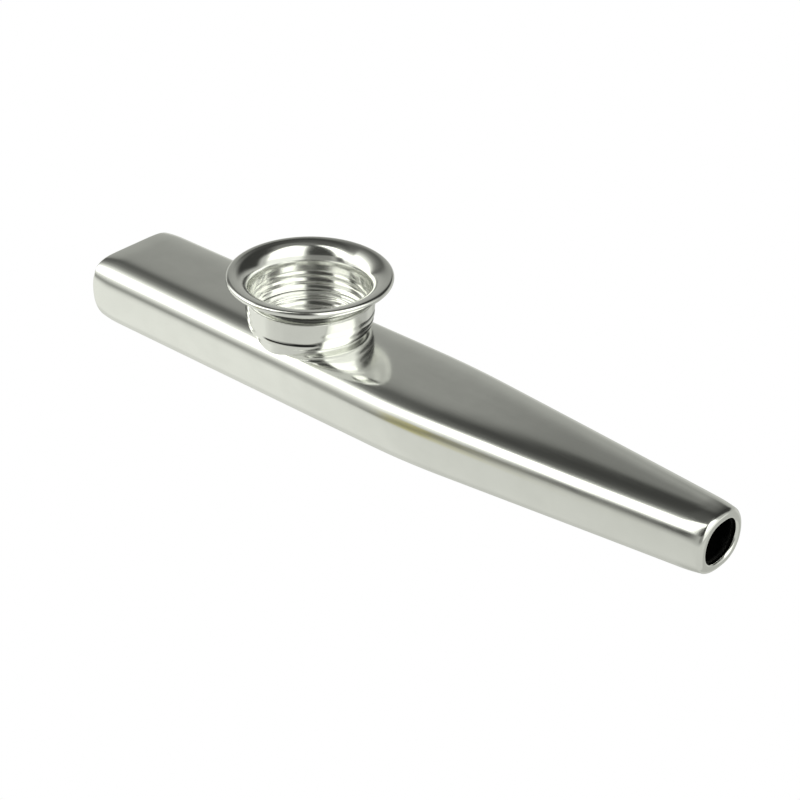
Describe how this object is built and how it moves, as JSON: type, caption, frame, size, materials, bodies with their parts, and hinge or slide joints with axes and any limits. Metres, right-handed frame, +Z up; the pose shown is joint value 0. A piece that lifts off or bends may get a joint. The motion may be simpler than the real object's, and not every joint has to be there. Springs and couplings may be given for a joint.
{
  "type": "kazoo",
  "caption": "Metal kazoo: flattened tapered tube with rolled ends, a threaded collar on top and a flared cup that screws in over a buzzing membrane.",
  "frame": {"origin": "under the middle of the length, on the plane the tube lies on", "axes": "+X from the wide mouth end to the narrow tip, +Z up through the cup"},
  "size_m": [0.12, 0.0262, 0.0215],
  "materials": {
    "tube_metal": "polished",
    "collar_metal": "polished",
    "cap_metal": "polished",
    "film": "thin silvery film",
    "ring": "polished"
  },
  "bodies": {
    "body": {"body_tube": "tube_metal", "collar": "collar_metal"},
    "membrane": {"membrane_film": "film", "membrane_ring": "ring"},
    "cup": {"screw_cap": "cap_metal"}
  },
  "joints": [
    {"name": "membrane_lift", "type": "slide", "parent": "body", "child": "membrane", "axis": [0, 0, 1], "range_m": [0, 0.005]},
    {"name": "cup_turn", "type": "hinge", "parent": "membrane", "child": "cup", "pos_m": [-0.0189, 0, 0.0136], "axis": [0, 0, 1], "range_deg": [0, 1440]}
  ],
  "couplings": [
    {"joint": "cup_turn", "follows": "membrane_lift", "rad_per_m": 5026.5}
  ]
}
